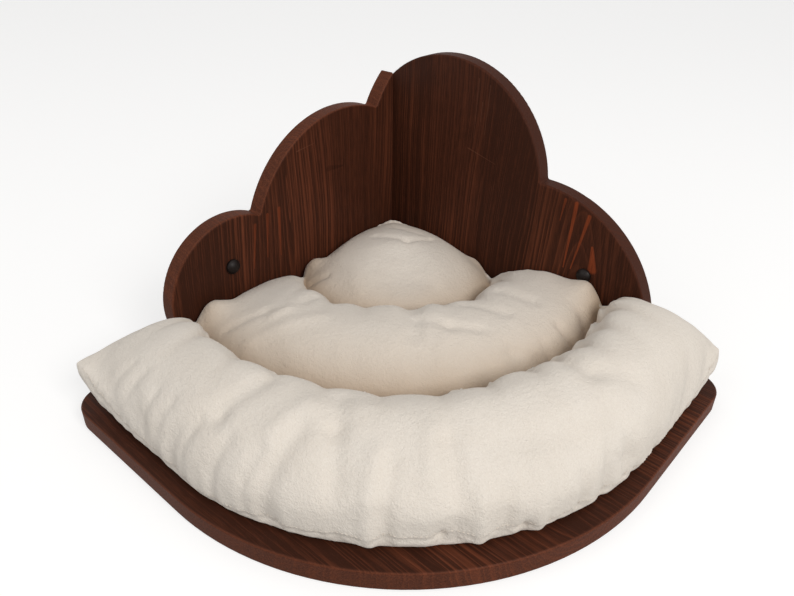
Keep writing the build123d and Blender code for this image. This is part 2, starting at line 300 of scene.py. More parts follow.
# Facing is 1 on a face, 0 on a rim, and in between on the rounding
facing = calc(rim_effect, "ABSOLUTE", rim_in.outputs["Facing"])
off_rim = between(rim_effect, facing, 0.04, 0.5)
off_face = between(rim_effect, facing, 0.985, 0.7)
feed(rim_effect, rim_out, {"Rim": between(rim_effect, facing, 0.75, 0.25),
                           "Edge": times(rim_effect, off_rim, off_face, clamp=True)})
print("rim nodes:", len(rim_effect.nodes))

# %% [markdown]
# ## Speckle
# Wood pores, moulded plastic, plated steel and brushed cotton all have some fine unevenness. One group
# gives it at any size: a tone for the colour, and a height for the bump.

# %% Speckle group
speckle, speckle_in, speckle_out = new_effect(
    "speckle", {"Vector": (0, 0, 0), "Grain Size": 0.001, "Contrast": 1.0}, ["Tone", "Height"])
per_metre = calc(speckle, "DIVIDE", 1.0, speckle_in.outputs["Grain Size"])
coarse = add(speckle, "ShaderNodeTexNoise", {"Vector": speckle_in.outputs["Vector"], "Scale": per_metre,
                                             "Detail": 3.0, "Roughness": 0.6}).outputs["Fac"]
tone = swing(speckle, coarse, speckle_in.outputs["Contrast"])
feed(speckle, speckle_out, {"Tone": plus(speckle, tone, 0.5, clamp=True), "Height": coarse})


def speckled(tree, place, grain, contrast):
    """The speckle of one finish: a tone and a height. The grain is in metres."""
    return use_effect(tree, speckle, {"Vector": place, "Grain Size": grain, "Contrast": contrast})


print("speckle nodes:", len(speckle.nodes))

# %% [markdown]
# ## Marks
# No two boards are alike. On these, a few soft fibres took no stain and show as orange streaks, and a few
# light scratches cross the grain. One group draws a single mark: it measures how far a point is from a line
# between two spots of the face, and fades over the mark's width, which narrows towards the line's end. Each
# board then lists its own marks.

# %% Mark group
mark_effect, mark_in, mark_out = new_effect(
    "face_mark", {"Vector": (0, 0, 0), "Start": (0, 0, 0), "End": (0, 0, 0.1), "Width": 0.002}, ["Mark"])
end_width_share = 0.3
mark_sharpness = 2.2
given = mark_in.outputs


def vector_step(operation, first, second):
    """One step with two vectors. Its first output is a vector and its second a number."""
    inputs = {0: first, "Scale" if operation == "SCALE" else 1: second}
    return add(mark_effect, "ShaderNodeVectorMath", inputs, operation=operation).outputs


line_step = vector_step("SUBTRACT", given["End"], given["Start"])[0]
from_start = vector_step("SUBTRACT", given["Vector"], given["Start"])[0]
ahead = vector_step("DOT_PRODUCT", from_start, line_step)[1]
whole = vector_step("DOT_PRODUCT", line_step, line_step)[1]
walked = calc(mark_effect, "DIVIDE", ahead, whole, clamp=True)
off_line = vector_step("DISTANCE", from_start, vector_step("SCALE", line_step, walked)[0])[1]
narrowing = times(mark_effect, calc(mark_effect, "SUBTRACT", 1.0, walked), 1 - end_width_share)
breadth = times(mark_effect, given["Width"], plus(mark_effect, narrowing, end_width_share))
inside = calc(mark_effect, "SUBTRACT", 1.0, calc(mark_effect, "DIVIDE", off_line, breadth))
feed(mark_effect, mark_out, {"Mark": times(mark_effect, inside, mark_sharpness, clamp=True)})
print("mark nodes:", len(mark_effect.nodes))

# %% [markdown]
# ## Stained softwood
# The maker brushed a dark brown stain on spruce and rubbed it with a satin varnish. The soft early wood
# drank the stain and went nearly black-brown, while the hard late lines stayed redder and lighter. The
# same finish goes on all three boards, each with its own grain direction, flame and seed. The grain runs
# upright in the cloud boards and along the right wall in the shelf.

# %% Stain colours and marks
stain_deep = (0.041, 0.0140, 0.0080, 1)
stain_light = (0.185, 0.053, 0.025, 1)
light_rim = (0.185, 0.056, 0.028, 1)
# The right board's rim colour is darker as painted shade: that rim faces away from the light
painted_shade_rim = (0.075, 0.022, 0.012, 1)
mark_tints = {"streak": (0.25, 0.052, 0.018, 1), "scratch": (0.16, 0.06, 0.034, 1),
              "knot": (0.014, 0.006, 0.004, 1)}
shelf_top = 18.0
board_face = 18.0


def face_marks(rows, through):
    """Marks of one face. A row, in millimetres, has the mark's kind, its start and end as (along the wall,
    above the shelf), its width, and how strong it is."""
    made = []
    for kind, start, end, width, strength in rows:
        spots = [(along / 1000, through / 1000, (shelf_top + up) / 1000) for along, up in (start, end)]
        made.append((*spots, width / 1000, strength, mark_tints[kind]))
    return made


right_marks = face_marks((
    ("streak", (255, 136), (251, 66), 2.6, 0.75), ("streak", (270, 127), (259, 67), 2.4, 0.7),
    ("streak", (243, 137), (240, 114), 1.8, 0.45), ("streak", (282, 74), (278, 97), 5.2, 0.8),
    ("scratch", (124, 160), (159, 151), 0.9, 0.4), ("scratch", (132, 232), (130, 172), 0.9, 0.35),
    ("scratch", (146, 228), (143, 178), 0.8, 0.4), ("scratch", (138, 210), (137, 190), 0.7, 0.4),
), -board_face)
left_marks = face_marks((
    ("streak", (188, 114), (190, 62), 2.2, 0.45), ("streak", (203, 112), (207, 66), 2.0, 0.45),
    ("streak", (219, 106), (225, 60), 2.0, 0.4), ("scratch", (160, 166), (137, 169), 0.9, 0.4),
    ("knot", (118, 137), (97, 135), 4.0, 0.35),
), board_face)
print("marks:", len(right_marks), "on the right board,", len(left_marks), "on the left")


# %% Tones and face of the wood
streak_gain, fibre_share, stave_share, mark_gain = 1.5, 0.7, 0.12, 1.9
patch_scales = (14.0, 14.0, 6.0)
patch_start, patch_full, faintest = 0.42, 0.66, 0.35
streak_start, streak_full, boldest_streak = 0.52, 0.78, 0.55


def wood_tone(tree, wood, place):
    """How much of the light stain shows, from 0 to 1: late lines and streaks, bold in some patches and faint
    in others, then fibres and a small step from stave to stave."""
    line_tone = times(tree, wood["Rings"], times(tree, wood["Streaks"], streak_gain), clamp=True)
    bold = between(tree, stretched_noise(tree, place, patch_scales, 1.0), patch_start, patch_full, faintest)
    streak_tone = between(tree, wood["Streaks"], streak_start, streak_full, 0.0, boldest_streak)
    share = calc(tree, "MAXIMUM", times(tree, line_tone, bold), times(tree, streak_tone, bold))
    share = plus(tree, share, swing(tree, wood["Fibres"], fibre_share))
    return plus(tree, share, swing(tree, wood["Stave"], stave_share), clamp=True)


def draw_marks(tree, wood, place, colour, marks):
    """Lays marks over a face's colour. They are uneven along the fibres, as the stain is."""
    for start, end, width, strength, tint in marks:
        mark_and_crease_shade = use_effect(tree, mark_effect, {"Vector": place, "Start": start, "End": end, "Width": width})
        amount = times(tree, mark_and_crease_shade["Mark"], strength)
        amount = times(tree, amount, times(tree, wood["Fibres"], mark_gain), clamp=True)
        colour = blend_colours(tree, amount, colour, tint)
    return colour


print("marks keep", end_width_share, "of their width at their end")


# %% Stained softwood
end_grain_contrast, end_grain_level = 1.3, 0.35
rim_figure, rim_cover, rubbing_and_highlight = 0.6, 0.9, 0.7
face_roughness, light_roughness, rim_roughness = 0.42, 0.16, 0.14
ring_relief, fibre_relief, rim_relief = 0.5, 0.6, 0.9


def stained_wood(name, axes, thickness_axis, sizes, rim_stain_and_shade, marks):
    """Axes gives for across, through and along which object axis it is, and with which sign. Sizes gives the
    place of the flame, the widths of rings and staves, the slope of the pith, and the seed."""
    material, tree, shader = new_finish(name, {"Specular IOR Level": 0.06})
    here = add(tree, "ShaderNodeTexCoord").outputs
    parts = add(tree, "ShaderNodeSeparateXYZ", {0: here["Object"]}).outputs
    turned = {i: times(tree, parts[axis], sign) for i, (axis, sign) in enumerate(axes)}
    place = add(tree, "ShaderNodeCombineXYZ", turned).outputs[0]
    labels = ("Flame Across", "Flame Along", "Ring Width", "Stave Width", "Slope", "Seed")
    wood = use_effect(tree, figure, {"Vector": place, **dict(zip(labels, sizes))})
    normal = add(tree, "ShaderNodeSeparateXYZ", {0: here["Normal"]}).outputs
    sawn = use_effect(tree, rim_effect, {"Facing": normal[thickness_axis]})
    pores = speckled(tree, here["Object"], 0.0012, 1.0)

    # Colour: the face with its marks, the rim with its end grain, and the rubbed rounding between them.
    # The rounding's lighter colour is partly worn stain and partly a painted highlight
    share = wood_tone(tree, wood, place)
    face_colour = draw_marks(tree, wood, place, blend_colours(tree, share, stain_deep, stain_light), marks)
    end_grain = plus(tree, swing(tree, pores["Tone"], end_grain_contrast), end_grain_level)
    rim_tone = plus(tree, times(tree, share, rim_figure), end_grain, clamp=True)
    rim_colour = blend_colours(tree, rim_tone, stain_deep, rim_stain_and_shade)
    colour = blend_colours(tree, times(tree, sawn["Rim"], rim_cover), face_colour, rim_colour)
    worn_and_highlight = times(tree, sawn["Edge"], times(tree, pores["Tone"], rubbing_and_highlight))
    colour = blend_colours(tree, worn_and_highlight, colour, rim_stain_and_shade)

    # Surface: the light lines are a little rougher and stand up, and the rim is rougher still
    roughness = plus(tree, times(tree, share, light_roughness), face_roughness)
    roughness = plus(tree, roughness, times(tree, sawn["Rim"], rim_roughness))
    relief = plus(tree, times(tree, wood["Rings"], ring_relief), times(tree, wood["Fibres"], fibre_relief))
    relief = plus(tree, relief, times(tree, times(tree, pores["Height"], sawn["Rim"]), rim_relief))
    bump = add(tree, "ShaderNodeBump", {"Height": relief, "Distance": 0.0004, "Strength": 0.45}).outputs[0]
    feed(tree, shader, {"Base Color": colour, "Roughness": roughness, "Normal": bump})
    return material


X, Y, Z = 0, 1, 2
# The right board takes the darker rim colour, which is painted shade
right_wood = stained_wood("right_board_stain", ((X, 1), (Y, 1), (Z, 1)), Y,
                          (0.262, 0.03, 0.0042, 0.072, 0.11, 3.0), painted_shade_rim, right_marks)
left_wood = stained_wood("left_board_stain", ((Y, -1), (X, 1), (Z, 1)), X,
                         (0.182, 0.3, 0.0045, 0.081, -0.07, 8.0), light_rim, left_marks)
shelf_wood = stained_wood("shelf_stain", ((Y, -1), (Z, 1), (X, 1)), Z,
                          (0.25, 0.1, 0.0048, 0.085, 0.08, 5.0), light_rim, ())
print("stains:", [right_wood.name, left_wood.name, shelf_wood.name])


# %% Stain the boards
def finish_node(name, material):
    """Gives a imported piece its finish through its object's material slots."""
    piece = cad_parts[name]
    for holder in piece.material_slots:
        holder.material = material
    return piece


finish_node("right_side_board", right_wood)
finish_node("left_side_board", left_wood)
finish_node("base_shelf", shelf_wood)
print("stained: shelf and both boards")

# %% [markdown]
# ## Fixings
# Each board is held to its wall by one screw, hidden under a dark domed cap of moulded plastic. The caps in
# the photo are dull with one soft highlight. The dowels are raw beech, and the screws are zinc plated.

# %% Cap plastic
def speckled_finish(name, grain, contrast, dark, light, roughness, bump_size, plain):
    """A finish with a fine speckle in its colour, its roughness and its surface, and some plain values.
    Roughness has its least value and its span, and the bump has a depth and a strength."""
    material, tree, shader = new_finish(name, plain)
    here = add(tree, "ShaderNodeTexCoord").outputs["Object"]
    grains = speckled(tree, here, grain, contrast)
    least, span = roughness
    depth, strength = bump_size
    bump = add(tree, "ShaderNodeBump", {"Height": grains["Height"], "Distance": depth, "Strength": strength})
    feed(tree, shader, {
        "Base Color": blend_colours(tree, grains["Tone"], dark, light),
        "Roughness": plus(tree, times(tree, grains["Tone"], span), least),
        "Normal": bump.outputs[0]})
    return material


cap_plastic = speckled_finish("cap_plastic", 0.0009, 1.4, (0.005, 0.003, 0.0025, 1), (0.012, 0.007, 0.006, 1),
                              (0.40, 0.14), (0.0001, 0.35), {"Specular IOR Level": 0.2})
for name in ("right_screw_cap", "left_screw_cap", "right_cup_washer", "left_cup_washer"):
    finish_node(name, cap_plastic)
print("caps done")

# %% Plated steel and beech
plated_steel = speckled_finish("plated_steel", 0.0006, 1.6, (0.52, 0.50, 0.46, 1), (0.70, 0.69, 0.66, 1),
                               (0.22, 0.2), (0.00005, 0.4), {"Metallic": 1.0})
for name in ("right_board_screws", "left_board_screws", "corner_screws"):
    finish_node(name, plated_steel)

raw_beech, tree, shader = new_finish("raw_beech", {"Roughness": 0.7})
here = add(tree, "ShaderNodeTexCoord").outputs["Object"]
wood = use_effect(tree, figure, {"Vector": here, "Flame Across": 0.1, "Flame Along": 0.0, "Ring Width": 0.002,
                                 "Stave Width": 0.4, "Slope": 0.05, "Seed": 1.0})
share = plus(tree, times(tree, wood["Fibres"], 0.6), times(tree, wood["Rings"], 0.4), clamp=True)
feed(tree, shader, {"Base Color": blend_colours(tree, share, (0.62, 0.44, 0.27, 1), (0.48, 0.31, 0.18, 1))})
for name in ("right_board_dowels", "left_board_dowels"):
    finish_node(name, raw_beech)
print("screws and dowels done")

# %% [markdown]
# ## Threads
# The two wall screws stick out behind the boards, ready for the wall, so their threads show from behind.
# A thread is a ridge that climbs one pitch per turn. The mesh below is a grid wrapped round the axis, and
# each point's radius depends on how far it is from the nearest ridge. Head and plain shank have the packed
# model's sizes, and the head's flat face stays under its cap.

# %% Threaded wall screws
screw_length = 0.0552
head_radius = 0.0046
head_height = 0.0028
shank_radius = 0.0018
thread_radius = 0.0025
thread_start = 0.0212
thread_pitch = 0.0022
screw_point = 0.006
core_share = 0.92
tip_share = 0.06
ridge_steepness = 2.4
points_around = 28
rows_per_turn = 9


def screw_radius(height, turn_share):
    """The screw's radius at a height above its head's face, at a share of a turn round it."""
    if height <= head_height:
        return head_radius + (shank_radius - head_radius) * height / head_height
    if height < thread_start:
        return shank_radius
    ridge = abs(((height - thread_start) / thread_pitch - turn_share) % 1.0 - 0.5) * 2
    core = shank_radius * core_share
    radius = core + (thread_radius - core) * max(0.0, ridge_steepness * (ridge - 1) + 1)
    left = (screw_length - height) / screw_point
    return radius * min(1.0, tip_share + (1 - tip_share) * left)


def wall_screw(name, node_name, direction):
    """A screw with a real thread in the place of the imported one. Direction points into the wall."""
    heights = [0.0, head_height / 2, head_height, (head_height + thread_start) / 2, thread_start]
    rows = int((screw_length - thread_start) / thread_pitch * rows_per_turn)
    heights += [thread_start + (screw_length - thread_start) * (i + 1) / rows for i in range(rows)]
    mesh = bmesh.new()
    rings = []
    for height in heights:
        ring = []
        for i in range(points_around):
            angle = 2 * math.pi * i / points_around
            radius = screw_radius(height, i / points_around)
            ring.append(mesh.verts.new((radius * math.cos(angle), radius * math.sin(angle), height)))
        rings.append(ring)
    for low, high in zip(rings, rings[1:]):
        for i in range(points_around):
            after = (i + 1) % points_around
            mesh.faces.new((low[i], low[after], high[after], high[i]))
    mesh.faces.new(list(reversed(rings[0])))
    mesh.faces.new(rings[-1])
    data = bpy.data.meshes.new(name)
    mesh.to_mesh(data)
    mesh.free()
    low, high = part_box(node_name)
    middle = (low + high) / 2
    turn = Vector((0, 0, 1)).rotation_difference(Vector(direction)).to_matrix().to_4x4()
    head = middle - Vector(direction) * screw_length / 2
    data.transform(Matrix.Translation(head) @ turn)
    piece = new_object(name, data)
    data.materials.append(plated_steel)
    data.shade_smooth()
    data.set_sharp_from_angle(angle=math.radians(50))
    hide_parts(node_name)
    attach(piece, "shelf")
    return piece


for side, into_wall in (("right", (0, 1, 0)), ("left", (-1, 0, 0))):
    screw = wall_screw(side + "_threaded_screw", side + "_wall_screw", into_wall)
    print(screw.name, "faces:", len(screw.data.polygons))

# %% [markdown]
# ## The cushion
# The real cushion is two layers of brushed cotton, sewn together round the edge and along two curved lines,
# and stuffed between the lines, so it has three lobes. Cloth like this isn't drawn but inflated: a plain
# shape of the right size goes through a short cloth simulation, with its seams held still and its fabric a
# little too large, and the wrinkles come by themselves. First comes the plain shape. It is a fan of upright
# sections from the corner to the front edge, each with three domes.

# %% Cushion sizes, in millimetres
rest_gap = 0.4
board_gap = 0.7
wall_gap = 3.2
hem_side = 415.0
hem_corner_radius = 262.0
corner_cut = 47.0
under_tuck = 10.0
back_tuck = 9.0

# How far round the fan each column of values stands: 0 at the right wall, 1 at the left wall. Crowns, seams
# and the hem are heights above the shelf. A lean under 1 puts a lobe's crown nearer to the corner.
fan_stations = (0, 0.025, 0.06, 0.13, 0.25, 0.5, 0.75, 0.87, 0.94, 0.975, 1)
front_crowns = (53, 62, 69, 73, 74, 73, 69, 63, 55, 46, 39)
front_leans = (0.5, 0.52, 0.56, 0.62, 0.62, 0.62, 0.62, 0.62, 0.62, 0.62, 0.62)
middle_crowns = (52, 56, 57, 54, 57, 66, 57, 45, 42, 40, 36)
middle_leans = (2.1, 2.0, 1.7, 1.2, 0.76, 0.62, 0.68, 0.8, 0.95, 1.1, 1.2)
back_crowns = (34, 35, 38, 45, 56, 67, 56, 42, 34, 30, 28)
seam_heights = (20, 19, 18, 18, 18, 18, 18, 18, 18, 19, 20)
hem_heights = (31, 27, 17, 8, 7, 15, 6, 14, 24, 34, 42)
back_height = 20.0
# At the two walls the stuffed ends bend up from the shelf
tip_lifts = (12, 6, 1, 0, 0, 0, 0, 0, 3, 11, 19)
front_seam = (306.0, 372.0)
back_seam = (162.0, 249.0)
lobe_lean = 10.0
lean_from, lean_to = 20.0, 58.0
plain_lean = 0.62
dome_power = 2.6
seam_gap = 0.4
past_right_board = (348, 366)
past_left_board = (324, 342)
print("fan stations:", len(fan_stations))


# %% Plan of the cushion
def at_station(values, share):
    """A smooth value between the stations of the fan."""
    i = min(max(np.searchsorted(fan_stations, share) - 1, 0), len(fan_stations) - 2)
    t = (share - fan_stations[i]) / (fan_stations[i + 1] - fan_stations[i])
    t = t * t * (3 - 2 * t) * 0.5 + t * 0.5
    return values[i] + (values[i + 1] - values[i]) * t


def reach_to_circle(start, heading, centre, radius):
    """How far a line from start runs until it meets a circle centred on the diagonal."""
    to_centre = np.array((centre, centre)) - start
    ahead = float(to_centre @ heading)
    beside = float(to_centre[0] * heading[1] - to_centre[1] * heading[0])
    return ahead + math.sqrt(radius**2 - beside**2)


def hem_point(angle):
    """The cushion's edge in the direction of an angle from the right wall, as (along right, along left)."""
    heading = np.array((math.cos(angle), math.sin(angle)))
    centre = hem_side - hem_corner_radius
    square = hem_side / heading.max()
    if heading.min() * square <= centre:
        return heading * square
    return heading * reach_to_circle(np.zeros(2), heading, centre, hem_corner_radius)


def seam_circle(seam):
    """Centre and radius of the plan circle of a seam, from where it meets a board and the diagonal."""
    end, middle = seam
    diagonal = middle * math.sin(math.radians(45))
    centre = (end**2 + board_face**2 - 2 * diagonal**2) / (2 * (end + board_face - 2 * diagonal))
    return centre, (diagonal - centre) * math.sqrt(2)


def fan_line(share):
    """Start, heading and length in plan of the section at a share of the fan."""
    swing = math.radians(45) - math.atan2(wall_gap, hem_side)
    front = hem_point(math.radians(45) + swing * (2 * share - 1))
    half = corner_cut / 2
    spread = (half - wall_gap) * (2 * share - 1)
    start = np.array((half - spread, half + spread))
    length = float(np.linalg.norm(front - start))
    return start, (front - start) / length, length


print("front of the cushion:", hem_point(math.radians(45)).round(1), "mm")


# %% One section of the cushion
edge_points = 7
base_points = 60
lobe_points = 40
front_points = 44


def dome_points(near, far, crown, steps, lean=plain_lean):
    """Points over one lobe, from one seam to the next. Each end is a distance and a height. With a lean
    under 1 the lobe rises steeply at its near end and falls gently at its far end, and over 1 the reverse."""
    turn = np.linspace(0, math.pi, steps)
    share = (1 - np.cos(turn)) / 2
    base = near[1] + (far[1] - near[1]) * share
    fullness = np.sqrt(np.clip(1 - np.abs(2 * share**lean - 1) ** dome_power, 0, 1))
    return np.column_stack((near[0] + (far[0] - near[0]) * share, base + (crown - base) * fullness))


def section_points(share):
    """The closed outline of one section: distance from the corner, and height above the shelf."""
    start, heading, length = fan_line(share)
    floor = rest_gap + at_station(tip_lifts, share)
    hem = (length, at_station(hem_heights, share))
    back = (0.0, back_height)
    low = at_station(seam_heights, share)
    first = (reach_to_circle(start, heading, *seam_circle(back_seam)), low)
    second = (reach_to_circle(start, heading, *seam_circle(front_seam)), low)
    turn = np.linspace(0, math.pi / 2, edge_points)
    under_front = np.column_stack((length - under_tuck * (1 - np.cos(turn)),
                                   hem[1] + (floor - hem[1]) * np.sin(turn)))
    under_back = np.column_stack((back_tuck * (1 - np.cos(turn)), back[1] + (floor - back[1]) * np.sin(turn)))
    base = np.linspace(length - under_tuck, back_tuck, base_points)
    middle_lean = at_station(middle_leans, share)
    front_lean = at_station(front_leans, share)
    return np.vstack((
        under_front[:-1],
        np.column_stack((base, np.full(base_points, floor))),
        under_back[::-1][1:],
        dome_points(back, first, at_station(back_crowns, share), lobe_points)[1:],
        dome_points(first, second, at_station(middle_crowns, share), lobe_points, middle_lean)[1:],
        dome_points(second, hem, at_station(front_crowns, share), front_points, front_lean)[1:-1],
    ))


print("points in a section:", len(section_points(0.5)))


# %% Keep clear of the boards and the walls
def smooth_share(value, start, end):
    """0 before start, 1 after end, and smooth between them."""
    t = np.clip((value - start) / (end - start), 0, 1)
    return t * t * (3 - 2 * t)


def past_seam(points, seam):
    """How far each point is past a seam in plan, towards the front. The lobes lean over those behind them."""
    centre, radius = seam_circle(seam)
    apart = np.hypot(points[:, 0] - centre, -points[:, 1] - centre) - radius
    return apart + lobe_lean * smooth_share(points[:, 2], shelf_top + lean_from, shelf_top + lean_to)


def keep_apart(points, lobes):
    """Stops each lobe where it meets its neighbour, so that no cloth passes through another."""
    for number, seam in ((0, back_seam), (1, front_seam)):
        centre, radius = seam_circle(seam)
        past = past_seam(points, seam)
        wrong = np.where(lobes > number, np.minimum(past - seam_gap, 0), np.maximum(past + seam_gap, 0))
        reach = np.hypot(points[:, 0] - centre, -points[:, 1] - centre)
        points[:, 0] -= wrong * (points[:, 0] - centre) / reach
        points[:, 1] -= wrong * (points[:, 1] + centre) / reach
    return points


def keep_clear(points):
    """Moves points, in millimetres, off the shelf, the boards and the walls beyond the boards' ends."""
    face = board_face + board_gap
    beyond_right = smooth_share(points[:, 0], *past_right_board)
    beyond_left = smooth_share(-points[:, 1], *past_left_board)
    points[:, 1] = np.minimum(points[:, 1], -(face + (wall_gap - face) * beyond_right))
    points[:, 0] = np.maximum(points[:, 0], face + (wall_gap - face) * beyond_left)
    points[:, 2] = np.maximum(points[:, 2], shelf_top + rest_gap)
    return points


# %% The plain shape
def fan_shape(name, columns):
    """The whole fan as one closed mesh."""
    rows = len(section_points(0.5))
    points = []
    for column in range(columns):
        share = column / (columns - 1)
        start, heading, length = fan_line(share)
        outline = section_points(share)
        plan = start + outline[:, :1] * heading
        points.append(np.column_stack((plan[:, 0], -plan[:, 1], outline[:, 1] + shelf_top)))
    points = keep_clear(np.vstack(points))
    faces = []
    for column in range(columns - 1):
        for row in range(rows):
            after = (row + 1) % rows
            here = column * rows
            faces.append((here + row, here + after, here + rows + after, here + rows + row))
    last = (columns - 1) * rows
    faces.append(tuple(range(rows - 1, -1, -1)))
    faces.append(tuple(range(last, last + rows)))
    mesh = bpy.data.meshes.new(name)
    mesh.from_pydata((points / 1000).tolist(), [], faces)
    mesh.update()
    return new_object(name, mesh)


def settle(shape, modifier):
    """Applies one modifier by baking the evaluated mesh."""
    bpy.context.view_layer.update()
    made = bpy.data.meshes.new_from_object(shape.evaluated_get(bpy.context.evaluated_depsgraph_get()))
    shape.modifiers.remove(modifier)
    old, shape.data = shape.data, made
    bpy.data.meshes.remove(old)


fan_columns = 91
cushion = fan_shape("quilted_cushion", fan_columns)
remesh = cushion.modifiers.new("even_cloth", "REMESH")
remesh.mode = "VOXEL"
remesh.voxel_size = 0.0042
settle(cushion, remesh)
print("even cloth:", len(cushion.data.vertices), "points")


# %% [markdown]
# ## Inflating the cloth
# Three things shape a stuffed cushion: the stuffing presses outwards everywhere, the seams hold their place,
# and the fabric is cut a little too large, so it is gathered where it is sewn. The simulation has all three:
# a pressure, a group of held points, and cloth that grows, most of all near the seams. It has to buckle into
# folds that run away from them. The wide swelling is then kept within a limit, so that the cushion keeps the
# size of the real one, and the folds are laid over it, fainter on the back lobe. The even mesh comes with
# small steps, so it is smoothed a little before and after.

# %% Points of the cloth
def read_vectors(rows, label):
    """One vector from each row of a mesh's data."""
    flat = np.empty(len(rows) * 3, np.float32)
    rows.foreach_get(label, flat)
    return flat.reshape(-1, 3).astype(float)


def read_points(shape):
    """The mesh's points in millimetres."""
    return read_vectors(shape.data.vertices, "co") * 1000


def write_points(shape, points):
    shape.data.vertices.foreach_set("co", (points / 1000).astype(np.float32).ravel())
    shape.data.update()


def pairs_of(shape):
    """The two points of every edge."""
    return np.array([edge.vertices[:] for edge in shape.data.edges])


def smoothed(values, pairs, rounds):
    """Evens out values over the mesh, each point with its neighbours."""
    count = np.bincount(pairs.ravel(), minlength=len(values))[:, None]
    for _ in range(rounds):
        total = np.zeros_like(values)
        np.add.at(total, pairs[:, 0], values[pairs[:, 1]])
        np.add.at(total, pairs[:, 1], values[pairs[:, 0]])
        values = 0.5 * values + 0.5 * total / count
    return values


track_samples = 480
chunk = 4000


def track(reach, heights):
    """Points along a seam or the hem. Reach gives how far out it is on each line of the fan."""
    spots = []
    for share in np.linspace(0, 1, track_samples):
        start, heading, length = fan_line(share)
        spot = start + heading * reach(start, heading, length)
        spots.append((spot[0], -spot[1], shelf_top + at_station(heights, share)))
    return keep_clear(np.array(spots))


def walked_along(line):
    """How far each spot of a line is from its start, along the line."""
    steps = np.linalg.norm(np.diff(line, axis=0), axis=1)
    return np.concatenate(((0,), np.cumsum(steps)))


def nearest(points, line):
    """How far each point is from a line of spots, and how far along the line that is. The points go through
    in chunks, because a table of all distances would be too large."""
    walked = walked_along(line)
    gap = np.empty(len(points))
    spot = np.empty(len(points))
    for first in range(0, len(points), chunk):
        some = points[first:first + chunk]
        apart = np.linalg.norm(some[:, None, :] - line[None, :, :], axis=2)
        closest = apart.argmin(axis=1)
        gap[first:first + chunk] = apart[np.arange(len(some)), closest]
        spot[first:first + chunk] = walked[closest]
    return gap, spot


def seam_track(seam):
    """Points along one of the two curved seams."""
    circle = seam_circle(seam)
    return track(lambda start, heading, length: reach_to_circle(start, heading, *circle), seam_heights)


inner_seam, outer_seam = seam_track(back_seam), seam_track(front_seam)
hem = track(lambda start, heading, length: length, hem_heights)
neighbours = pairs_of(cushion)
step_rounds = 3
plain = keep_clear(smoothed(read_points(cushion), neighbours, step_rounds))
write_points(cushion, plain)
lobes = (past_seam(plain, back_seam) > 0).astype(int) + (past_seam(plain, front_seam) > 0)
to_seam = np.minimum(nearest(plain, inner_seam)[0], nearest(plain, outer_seam)[0])
to_hem = nearest(plain, hem)[0]
print("outer seam:", round(float(walked_along(outer_seam)[-1])), "mm long")


# %% Held points and gathered cloth
def weigh(shape, name, values):
    """Stores one weight for each point in a vertex group."""
    group = shape.vertex_groups.new(name=name)
    for i in np.flatnonzero(values > 0):
        group.add([int(i)], float(values[i]), "REPLACE")
    return group.name


# Points are held near a seam or the hem, and on the shelf. The cloth is gathered further out from them.
seam_hold, hem_hold, shelf_hold = 4.0, 5.0, 0.6
seam_gather, hem_gather, hem_gather_share = 28.0, 24.0, 0.75
held = np.clip(1.25 - to_seam / seam_hold, 0, 1)
held = np.maximum(held, np.clip(1.3 - to_hem / hem_hold, 0, 1))
held = np.maximum(held, plain[:, 2] < shelf_top + rest_gap + shelf_hold)
gathered = np.maximum(np.exp(-to_seam / seam_gather), hem_gather_share * np.exp(-to_hem / hem_gather))
print("held points:", int((held > 0.5).sum()), "of", len(plain))

# %% Inflate
cloth = cushion.modifiers.new("stuffing", "CLOTH")
fabric = cloth.settings
fabric.quality = 5
fabric.mass = 0.25
fabric.tension_stiffness = 12
fabric.compression_stiffness = 12
fabric.shear_stiffness = 5
fabric.bending_stiffness = 0.12
fabric.tension_damping = 8
fabric.compression_damping = 8
fabric.use_pressure = True
fabric.uniform_pressure_force = 2.2
fabric.effector_weights.gravity = 0
fabric.vertex_group_mass = weigh(cushion, "held", held)
fabric.vertex_group_shrink = weigh(cushion, "gathered", gathered)
fabric.shrink_min = -0.045
fabric.shrink_max = -0.23
cloth_steps = 20
cloth.point_cache.frame_start = 1
cloth.point_cache.frame_end = cloth_steps
swell_limit = 9.0
swell_rounds = 60
fold_shares = np.array((0.3, 0.7, 0.6))

for step in range(1, cloth_steps + 1):
    bpy.context.scene.frame_set(step)
settle(cushion, cloth)
moved = read_points(cushion) - plain
swelling = smoothed(moved, neighbours, swell_rounds)
wrinkles = (moved - swelling) * fold_shares[lobes][:, None]
far = np.linalg.norm(swelling, axis=1, keepdims=True)
kept = swell_limit * np.tanh(far / swell_limit) / np.maximum(far, 1e-6)
write_points(cushion, keep_apart(plain + swelling * kept + wrinkles, lobes))
bpy.context.scene.frame_set(1)
print("swelling up to", round(float(far.max()), 1), "mm, wrinkles up to",
      round(float(np.linalg.norm(wrinkles, axis=1).max()), 1), "mm")
cushion.vertex_groups.clear()
write_points(cushion, keep_clear(smoothed(read_points(cushion), neighbours, step_rounds)))
lobe_number = cushion.data.attributes.new("lobe", "FLOAT", "POINT")
lobe_number.data.foreach_set("value", lobes.astype(np.float32))

# %% [markdown]
# ## Seams, tucks and folds
# A needle pulls the cloth in at every stitch, so close to a seam the surface is never smooth. The front
# lobe's edge lies over the middle one in a row of small scallops: it bulges back between two stitched points
# and is drawn in at each. From there a short tuck runs into the lobe. The middle lobe dives under that edge.
# Wide soft folds cross the lobes where the stuffing has shifted. All of it is added after one subdivision,
# when the mesh is fine enough to hold it.

# %% Finer cloth
finer = cushion.modifiers.new("finer", "SUBSURF")
finer.levels = 1
finer.render_levels = 1
settle(cushion, finer)
print("finer cloth:", len(cushion.data.vertices), "points")

